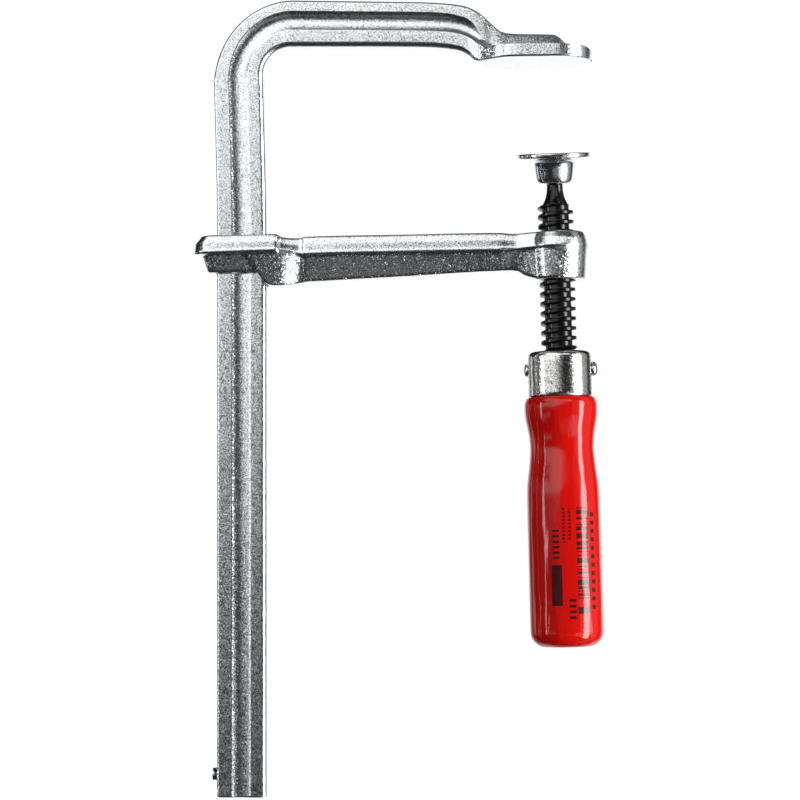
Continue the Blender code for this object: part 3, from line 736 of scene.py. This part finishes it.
def build_cross_pin(material):
    right = FERRULE_R + 0.15
    left = -right
    dome = (0.7, 2.06), (1.4, 1.92), (2.1, 1.62), (2.6, 1.2), (2.95, 0.7), (3.13, 0.2), (3.1, 0.0)
    profile = [(0, right + 2.1)] + [(r, right + h) for r, h in dome]
    profile += [(CROSS_R, right), (CROSS_R, left), (2.7, left), (2.62, left - 0.4), (2.3, left - 0.75)]
    profile += [(1.7, left - 1.05), (0.9, left - 1.25), (0, left - 1.3)]
    pin = new_object("cross_pin", revolve(profile, cross_matrix(), 48), material, 50.0)
    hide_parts("handle_cross_pin")
    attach(pin, "screw")


def pad_matrix():
    """The pad's own axis through the ball's centre, from the record's mount on its face."""
    return axis_tilted(BALL_POINT, Vector(MOUNTS["pressure_pad_face"]["axis"]))


def axis_tilted(point, axis):
    z = axis.normalized()
    x = (SCREW.to_3x3() @ Vector((1, 0, 0))).normalized()
    y = z.cross(x).normalized()
    x = y.cross(z)
    return Matrix.Translation(point) @ Matrix((x, y, z)).transposed().to_4x4()


def build_pad(material):
    top = PAD_TOP
    r = PAD_R
    outside = [(0.0, top - 0.1), (5.0, top - 0.1), (9.0, top - 0.05), (12.5, top), (r - 0.8, top)]
    outside += arc(r - 0.62, top - 0.62, 0.62, 80, 0, 5) + [(r, top - 1.3)]
    outside += arc(r - 0.7, top - 1.4, 0.7, -8, -76, 5)
    outside += [(r - 1.3, top - 2.3), (12.4, 4.72), (11.0, 4.5), (10.1, 4.36), (9.45, 4.16), (9.0, 3.86)]
    outside += [(8.6, 3.3), (8.3, 2.5), (8.1, 1.2), (7.9, -0.6), (7.65, -2.4), (7.45, -3.5), (7.15, -4.3)]
    outside += [(6.7, -4.85), (6.2, -5.12), (5.5, -5.2)]
    inside = [(5.05, -5.12), (4.95, -4.9), (4.95, -4.66)] + arc(0, 0, 6.8, -38, -2, 8) + [(5.5, -0.2)]
    inside += arc(0, 0, 5.5, 8, 90, 14)[:-1] + [(0.0, 5.5)]
    pad = new_object("pressure_pad", revolve(outside + inside, pad_matrix(), 96), material, 42.0)
    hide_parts("pressure_plate")
    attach(pad, "pad")


def build_ring(material):
    matrix = SCREW @ Matrix.Translation(Vector((0, 0, BALL_S * MM)))
    ring = new_object("retaining_ring", revolve(arc(4.75, -3.9, 0.45, 0, 345, 23), matrix, 64), material)
    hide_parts("ball_retaining_ring")
    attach(ring, "carrier")


# ---------------------------------------------------------------- materials

class Nodes:
    """Small helper for writing a node tree top to bottom."""

    def __init__(self, tree):
        self.tree = tree
        tree.nodes.clear()

    def add(self, kind, links=None, **values):
        node = self.tree.nodes.new(kind)
        for key, value in values.items():
            setattr(node, key, value)
        for socket, value in (links or {}).items():
            target = node.inputs[socket]
            if isinstance(value, bpy.types.NodeSocket):
                self.tree.links.new(value, target)
            else:
                target.default_value = value
        return node


def new_material(name):
    material = bpy.data.materials.new(name)
    material.use_nodes = True
    return material, Nodes(material.node_tree)


def noise(n, coords, scale, detail=2.0, rough=0.5):
    links = {"Vector": coords, "Scale": scale, "Detail": detail, "Roughness": rough}
    return n.add("ShaderNodeTexNoise", links).outputs["Fac"]


def ramp(n, value, low, high, to_low=0.0, to_high=1.0, smooth=False):
    links = {"Value": value, "From Min": low, "From Max": high, "To Min": to_low, "To Max": to_high}
    kind = "SMOOTHSTEP" if smooth else "LINEAR"
    return n.add("ShaderNodeMapRange", links, interpolation_type=kind).outputs["Result"]


def mix_color(n, factor, a, b):
    node = n.add("ShaderNodeMix", data_type="RGBA")
    for index, value in ((0, factor), (6, a), (7, b)):
        if isinstance(value, bpy.types.NodeSocket):
            n.tree.links.new(value, node.inputs[index])
        else:
            node.inputs[index].default_value = value
    return node.outputs[2]


def math_node(n, operation, a, b=0.0):
    return n.add("ShaderNodeMath", {0: a, 1: b}, operation=operation).outputs[0]


def bump(n, height, distance, strength=1.0, normal=None):
    links = {"Height": height, "Distance": distance, "Strength": strength}
    if normal is not None:
        links["Normal"] = normal
    return n.add("ShaderNodeBump", links).outputs["Normal"]


def sparkle(n, coords, scale, tilt, flash, normal):
    """Normal broken into tiny facets like crystals in the plating; some of them are tipped far over."""
    cells = n.add("ShaderNodeTexVoronoi", {"Vector": coords, "Scale": scale}).outputs["Color"]
    pick = n.add("ShaderNodeSeparateXYZ", {0: cells}).outputs[0]
    amount = math_node(n, "ADD", ramp(n, pick, 0.55, 0.85, 0.0, flash), tilt)
    centred = n.add("ShaderNodeVectorMath", {0: cells, 1: (0.5, 0.5, 0.5)}, operation="SUBTRACT").outputs[0]
    tipped = n.add("ShaderNodeVectorMath", {0: centred, "Scale": amount}, operation="SCALE").outputs[0]
    total = n.add("ShaderNodeVectorMath", {0: normal, 1: tipped}, operation="ADD").outputs[0]
    return n.add("ShaderNodeVectorMath", {0: total}, operation="NORMALIZE").outputs[0]


# The arm's finish changes between these two heights, in metres: rougher below, smoother above.
PARTING = (-0.0798, -0.0790)
RAW_FLASH = 0.54


def zinc(name, light, dark, rough, grain, flash, contrast=0.4, grain_scale=3600.0, mottle=0.06, raw=None):
    """Zinc-plated steel: tiny plating grain, slow colour mottling and a little handling wear."""
    material, n = new_material(name)
    coords = n.add("ShaderNodeTexCoord").outputs["Object"]
    coarse = noise(n, coords, grain_scale * 0.25, 2.0, 0.5)
    slow = noise(n, coords, 55.0, 4.0, 0.6)
    specks = ramp(n, noise(n, coords, grain_scale * 0.6, 1.0), 0.48, 0.7)
    tint = mix_color(n, ramp(n, slow, 0.35, 0.7), (*light, 1), tuple(c * (1 - mottle) for c in light) + (1,))
    color = mix_color(n, math_node(n, "MULTIPLY", specks, contrast), tint, (*dark, 1))
    normal = bump(n, coarse, 0.00002 * grain)
    if raw is not None:
        height = n.add("ShaderNodeSeparateXYZ", {0: coords}).outputs[2]
        flash = ramp(n, height, *raw, RAW_FLASH, flash)
    normal = sparkle(n, coords, grain_scale, 0.17 * grain, flash, normal)
    roughness = ramp(n, coarse, 0.3, 0.7, rough - 0.04, rough + 0.05)
    shader = n.add("ShaderNodeBsdfPrincipled", {
        "Base Color": color, "Metallic": 1.0, "Roughness": roughness, "Normal": normal,
    })
    n.add("ShaderNodeOutputMaterial", {"Surface": shader.outputs[0]})
    return material


def black_oxide():
    material, n = new_material("black_oxide_steel")
    coords = n.add("ShaderNodeTexCoord").outputs["Object"]
    fine = noise(n, coords, 1400.0, 3.0, 0.6)
    slow = noise(n, coords, 260.0, 3.0, 0.6)
    color = mix_color(n, ramp(n, slow, 0.35, 0.75), (0.003, 0.003, 0.0035, 1), (0.010, 0.010, 0.011, 1))
    roughness = ramp(n, fine, 0.3, 0.7, 0.06, 0.18)
    shader = n.add("ShaderNodeBsdfPrincipled", {
        "Base Color": color, "Metallic": 0.0, "Roughness": roughness, "IOR": 1.45,
        "Normal": bump(n, fine, 0.00002),
    })
    n.add("ShaderNodeOutputMaterial", {"Surface": shader.outputs[0]})
    return material


def inside(n, value, low, high):
    above = math_node(n, "GREATER_THAN", value, low)
    return math_node(n, "MULTIPLY", above, math_node(n, "LESS_THAN", value, high))


def handle_print(n, coords):
    """Plain ink bars and ticks along the handle, with no lettering: 1 where there is ink."""
    local = n.add("ShaderNodeVectorMath", {0: coords, 1: SCREW_POINT}, operation="SUBTRACT").outputs[0]
    across, depth, along = (SCREW.to_3x3().col[i] for i in range(3))
    x, y, z = (
        n.add("ShaderNodeVectorMath", {0: local, 1: axis}, operation="DOT_PRODUCT").outputs["Value"]
        for axis in (across, depth, along))
    around = math_node(n, "DEGREES", math_node(n, "ARCTAN2", x, math_node(n, "MULTIPLY", y, -1.0)))
    down = math_node(n, "MULTIPLY", z, -1.0 / MM)
    bar_number = math_node(n, "FLOOR", math_node(n, "DIVIDE", down, 0.55))
    chance = n.add("ShaderNodeTexWhiteNoise", {"W": bar_number}, noise_dimensions="1D").outputs["Value"]
    bars = math_node(n, "GREATER_THAN", chance, 0.5)

    def ticks(pitch, duty):
        return math_node(n, "LESS_THAN", math_node(n, "FRACT", math_node(n, "DIVIDE", down, pitch)), duty)

    ink = 0.0
    for angle, length, pattern in (
        ((19, 40), (102.5, 146.5), bars),
        ((45, 53), (104.0, 146.0), ticks(3.4, 0.5)),
        ((-3, 1.5), (103.0, 117.5), ticks(1.5, 0.55)),
        ((6, 10.5), (104.0, 116.5), ticks(1.5, 0.55)),
        ((-19, -8), (111.0, 124.0), ticks(2.2, 0.45)),
        ((-22, -5), (126.5, 143.0), 1.0),
        ((5, 16), (140.0, 149.0), ticks(2.3, 0.5)),
    ):
        spot = math_node(n, "MULTIPLY", inside(n, around, *angle), inside(n, down, *length))
        ink = math_node(n, "MAXIMUM", math_node(n, "MULTIPLY", spot, pattern), ink)
    return ink


def red_lacquer():
    """Dipped gloss lacquer on wood: an even red, slight runs in the coat and faint grain under it."""
    material, n = new_material("red_gloss_lacquer")
    coords = n.add("ShaderNodeTexCoord").outputs["Object"]
    stretched = n.add("ShaderNodeMapping", {"Vector": coords, "Scale": (1.0, 1.0, 0.12)}).outputs[0]
    grain = noise(n, stretched, 420.0, 4.0, 0.6)
    slow = noise(n, coords, 40.0, 2.0, 0.5)
    color = mix_color(n, ramp(n, slow, 0.35, 0.65), (0.70, 0.007, 0.004, 1), (0.65, 0.006, 0.004, 1))
    ink = math_node(n, "MULTIPLY", handle_print(n, coords), 0.93)
    color = mix_color(n, ink, color, (0.012, 0.008, 0.008, 1))
    waves = noise(n, stretched, 160.0, 2.0, 0.5)
    runs = noise(n, coords, 700.0, 3.0, 0.6)
    normal = bump(n, waves, 0.0006, 1.0)
    normal = bump(n, grain, 0.00005, 1.0, normal)
    normal = bump(n, runs, 0.00003, 1.0, normal)
    shader = n.add("ShaderNodeBsdfPrincipled", {
        "Base Color": color, "Metallic": 0.0, "Roughness": ramp(n, grain, 0.3, 0.7, 0.3, 0.4), "IOR": 1.5,
        "Specular IOR Level": 0.0, "Coat Weight": 1.0, "Coat Roughness": 0.04, "Coat IOR": 1.52,
        "Normal": normal, "Coat Normal": normal,
    })
    n.add("ShaderNodeOutputMaterial", {"Surface": shader.outputs[0]})
    return material


# ---------------------------------------------------------------- studio

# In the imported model's frame: metres, and degrees for the camera's turn.
FLOOR_Z = -0.475
CAMERA_AT = (0.00195, -1.0567, -0.2046)
CAMERA_YAW = -3.63
CAMERA_PITCH = 3.52
CAMERA_ROLL = -0.2
LENS = 115.8
SENSOR = 36.0


def studio_world():
    """World light as panels, placed by azimuth (0 towards the camera, 90 right) and elevation in degrees."""
    scene_world = bpy.data.worlds.new("studio")
    bpy.context.scene.world = scene_world
    scene_world.use_nodes = True
    n = Nodes(scene_world.node_tree)
    direction = n.add("ShaderNodeTexCoord").outputs["Generated"]
    parts = n.add("ShaderNodeSeparateXYZ", {0: direction})
    x, y, z = parts.outputs
    azimuth = math_node(n, "DEGREES", math_node(n, "ARCTAN2", x, math_node(n, "MULTIPLY", y, -1.0)))
    elevation = math_node(n, "DEGREES", math_node(n, "ARCSINE", z))

    def between(value, low, low_full, high_full, high):
        rise = ramp(n, value, low, low_full, smooth=True)
        fall = ramp(n, value, high_full, high, 1.0, 0.0, smooth=True)
        return math_node(n, "MULTIPLY", rise, fall)

    def light(level, *masks):
        value = level
        for mask in masks:
            value = math_node(n, "MULTIPLY", mask, value)
        return value

    side = math_node(n, "ABSOLUTE", azimuth)
    behind = light(
        1.13, ramp(n, side, 128.0, 156.0, smooth=True), between(elevation, -68.0, -32.0, 10.0, 24.0))
    lean = math_node(n, "MULTIPLY", math_node(n, "SUBTRACT", elevation, 24.0), 0.4)
    tilted = math_node(n, "ADD", azimuth, lean)
    front_top = light(
        1.35, between(tilted, -62.0, -46.0, -2.0, 10.0), between(elevation, 13.0, 26.0, 40.0, 74.0))
    above = math_node(n, "SUBTRACT", elevation, 4.0)
    steep, gentle = (math_node(n, "MULTIPLY", above, rate) for rate in (2.6, 0.85))
    lift = math_node(n, "MAXIMUM", steep, gentle)
    slanted = math_node(n, "SUBTRACT", azimuth, math_node(n, "MINIMUM", lift, 22.0))
    taper = math_node(n, "MAXIMUM", math_node(n, "MULTIPLY", above, 2.2), 0.0)
    tapered = math_node(n, "SUBTRACT", azimuth, taper)
    left_bank = light(
        1.35, ramp(n, slanted, -30.0, 4.0, 1.0, 0.0, smooth=True),
        ramp(n, tapered, -79.0, -68.0, smooth=True),
        ramp(n, elevation, -1.0, 6.5, smooth=True), ramp(n, elevation, 50.0, 76.0, 1.0, 0.0, smooth=True))
    glow = light(
        0.2, between(azimuth, -100.0, -70.0, -11.0, 2.0), between(elevation, -3.5, 2.0, 6.0, 10.0))
    left_low = light(
        0.5, between(azimuth, -64.0, -55.0, -44.0, -36.0), between(elevation, -15.0, -10.0, -6.0, -3.0))
    left_strip = light(
        5.0, between(azimuth, -68.0, -66.0, -62.0, -60.0), between(elevation, -14.0, -8.0, 12.0, 20.0))
    edge_strip = light(
        0.9, between(azimuth, -128.0, -122.0, -117.0, -111.0), between(elevation, -12.0, -8.0, 7.0, 10.0))
    left_grey = light(
        0.2, between(azimuth, -112.0, -100.0, -84.0, -72.0), between(elevation, 1.5, 3.5, 8.0, 11.0))
    right_bank = light(
        9.5, between(azimuth, 54.0, 61.0, 75.0, 83.0), between(elevation, -44.0, -34.0, 16.0, 28.0))
    right_rim = light(
        0.6, between(azimuth, 34.0, 54.0, 82.0, 98.0), between(elevation, -44.0, -34.0, 20.0, 32.0))
    right_grey = light(0.36, between(azimuth, 78.0, 88.0, 102.0, 124.0))
    right_low = light(
        1.1, between(azimuth, 22.0, 36.0, 56.0, 64.0), between(elevation, -32.0, -22.0, -11.0, -5.0))
    right_top = light(
        1.2, between(azimuth, 1.0, 8.0, 32.0, 44.0), between(elevation, 17.0, 23.0, 36.0, 42.0))
    low_front = light(
        0.22, between(azimuth, -8.0, -5.0, 20.0, 40.0), between(elevation, -30.0, -22.0, -17.0, -11.0))
    overhead = light(0.12, ramp(n, elevation, 45.0, 65.0, smooth=True))
    total = 0.02
    panels = (
        behind, front_top, left_bank, glow, edge_strip, left_grey, right_rim, right_grey, right_low,
        right_top, left_low, low_front, overhead)
    for value in panels:
        total = math_node(n, "MAXIMUM", total, value)
    for value in (left_strip, right_bank):
        total = math_node(n, "ADD", total, value)
    soft = n.add("ShaderNodeBackground", {"Color": total, "Strength": 1.0})
    backdrop = n.add("ShaderNodeBackground", {"Color": (1, 1, 1, 1), "Strength": 1.05})
    seen = n.add("ShaderNodeLightPath").outputs["Is Camera Ray"]
    both = n.add("ShaderNodeMixShader", {0: seen, 1: soft.outputs[0], 2: backdrop.outputs[0]})
    n.add("ShaderNodeOutputWorld", {"Surface": both.outputs[0]})


def studio_floor(height):
    """Pale floor under the lowest point that the clamp reaches at any pose."""
    bm = bmesh.new()
    bmesh.ops.create_grid(bm, x_segments=8, y_segments=8, size=12.0)
    bmesh.ops.translate(bm, verts=bm.verts, vec=(0, 0, height))
    material, n = new_material("pale_floor")
    coords = n.add("ShaderNodeTexCoord").outputs["Object"]
    tone = mix_color(n, noise(n, coords, 3.0), (0.86, 0.86, 0.86, 1), (0.84, 0.84, 0.84, 1))
    shader = n.add("ShaderNodeBsdfPrincipled", {
        "Base Color": tone, "Roughness": 0.9, "Emission Color": (1, 1, 1, 1), "Emission Strength": 1.0,
    })
    n.add("ShaderNodeOutputMaterial", {"Surface": shader.outputs[0]})
    floor = new_object("floor", bm, material)
    floor.visible_glossy = False
    floor.visible_diffuse = False
    floor.visible_shadow = False


def studio_camera():
    yaw = math.radians(CAMERA_YAW)
    pitch = math.radians(CAMERA_PITCH)
    roll = math.radians(CAMERA_ROLL)
    forward = Vector((math.sin(yaw) * math.cos(pitch), math.cos(yaw) * math.cos(pitch), math.sin(pitch)))
    right = Vector((math.cos(yaw), -math.sin(yaw), 0.0))
    up = right.cross(forward)
    rolled_right = right * math.cos(roll) + up * math.sin(roll)
    rolled_up = up * math.cos(roll) - right * math.sin(roll)
    matrix = Matrix((rolled_right, rolled_up, -forward)).transposed().to_4x4()
    matrix.translation = Vector(CAMERA_AT)
    data = bpy.data.cameras.new("camera")
    data.lens = LENS
    data.sensor_width = SENSOR
    data.clip_start = 0.05
    data.clip_end = 50.0
    camera = bpy.data.objects.new("camera", data)
    camera.matrix_world = matrix
    bpy.context.scene.collection.objects.link(camera)
    bpy.context.scene.camera = camera


# ---------------------------------------------------------------- put together

forging = zinc("zinc_plated_forging", (0.87, 0.91, 0.93), (0.40, 0.42, 0.43), 0.19, 0.5, 0.18)
arm_zinc = zinc(
    "zinc_plated_arm", (0.90, 0.94, 0.96), (0.26, 0.28, 0.29), 0.20, 0.45, 0.22, 0.4, 3200.0, raw=PARTING)
sheet = zinc("bright_plated_ferrule", (0.87, 0.87, 0.85), (0.40, 0.40, 0.39), 0.12, 0.45, 0.14)
pad_zinc = zinc("bright_plated_pad", (0.83, 0.88, 0.91), (0.42, 0.45, 0.47), 0.15, 0.4, 0.12)
pin_steel = zinc("pin_steel", (0.72, 0.73, 0.74), (0.3, 0.3, 0.3), 0.28, 0.6, 0.1)
rivet = zinc("rivet_steel", (0.85, 0.86, 0.87), (0.5, 0.5, 0.5), 0.16, 0.3, 0.05)
spring = zinc("spring_steel", (0.4, 0.4, 0.41), (0.2, 0.2, 0.2), 0.3, 0.4, 0.05)
black = black_oxide()
lacquer = red_lacquer()

build_bar(forging)
build_stop_pin(pin_steel)
build_arm(arm_zinc)
build_spindle(black)
build_ferrule(sheet)
build_handle(lacquer)
build_cross_pin(rivet)
build_pad(pad_zinc)
build_ring(spring)

studio_world()
studio_floor(FLOOR_Z)
studio_camera()
bpy.context.scene.view_settings.view_transform = "Standard"
bpy.context.scene.view_settings.look = "None"
